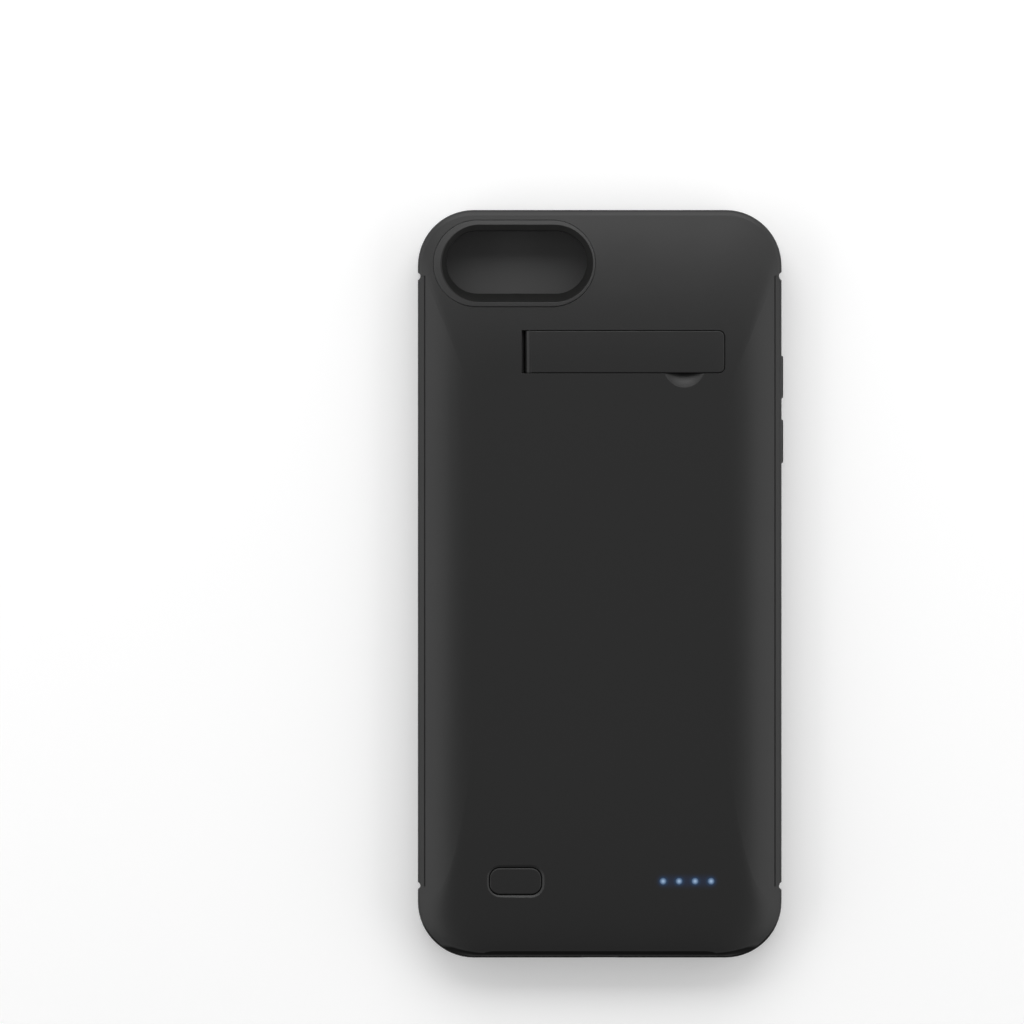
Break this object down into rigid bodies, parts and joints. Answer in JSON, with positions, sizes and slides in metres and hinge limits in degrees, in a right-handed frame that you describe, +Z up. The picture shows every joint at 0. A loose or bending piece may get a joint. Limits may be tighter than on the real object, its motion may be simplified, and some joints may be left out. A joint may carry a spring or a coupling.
{
  "type": "battery charging case",
  "caption": "Slim battery case with a soft bumper frame, crowned hard back, camera window, fold-out stand, push button and status lights.",
  "frame": {"origin": "below the middle of the case, on the surface that the rim of its open front lies on", "axes": "+X across the back to the side with the volume pads, +Y from the charging end to the camera end, +Z up out of the back"},
  "size_m": [0.0815, 0.1666, 0.0135],
  "materials": {
    "soft_frame": "matte moulded elastomer",
    "soft_touch_black": "soft-touch coated polycarbonate",
    "moulded_black": "fine moulded texture",
    "satin_black": "satin",
    "steel": "bright stamped steel",
    "clear_light_guide": "clear, lit blue-white",
    "led_package": "white moulded",
    "circuit_board": "green solder mask",
    "chip_package": "moulded epoxy",
    "ferrite": "pressed ferrite",
    "capacitor_body": "fired ceramic",
    "gold_contact": "gold plated",
    "flex_film": "amber film",
    "cell_pouch": "laminated foil pouch",
    "nickel_tab": "rolled nickel",
    "adhesive_tape": "foam tape"
  },
  "bodies": {
    "case": {"bumper_frame": "soft_frame", "back_shell": "soft_touch_black", "inner_tray": "moulded_black", "camera_bezel": "satin_black", "kickstand_pin": "steel", "tact_switch": "steel", "light_pipe": "clear_light_guide", "status_leds": "led_package", "main_board": "circuit_board", "controller_chips": "chip_package", "boost_inductor": "ferrite", "board_capacitors": "capacitor_body", "charging_port_shell": "steel", "charging_port_tongue": "moulded_black", "charging_port_contacts": "gold_contact", "plug_base": "moulded_black", "plug_tongue": "steel", "plug_contacts": "gold_contact", "plug_flex": "flex_film", "battery_cell": "cell_pouch", "battery_tabs": "nickel_tab", "cell_tape": "adhesive_tape"},
    "kickstand": {"kickstand_leaf": "soft_touch_black"},
    "button": {"power_button": "soft_touch_black", "switch_plunger": "moulded_black"}
  },
  "joints": [
    {"name": "kickstand_hinge", "type": "hinge", "parent": "case", "child": "kickstand", "pos_m": [-0.0153, 0.05153, 0.01185], "axis": [0, -1, 0], "range_deg": [0, 65]},
    {"name": "button_press", "type": "slide", "parent": "case", "child": "button", "axis": [0, 0, -1], "range_m": [0, 0.00025], "stiffness_N_per_m": 4000}
  ]
}
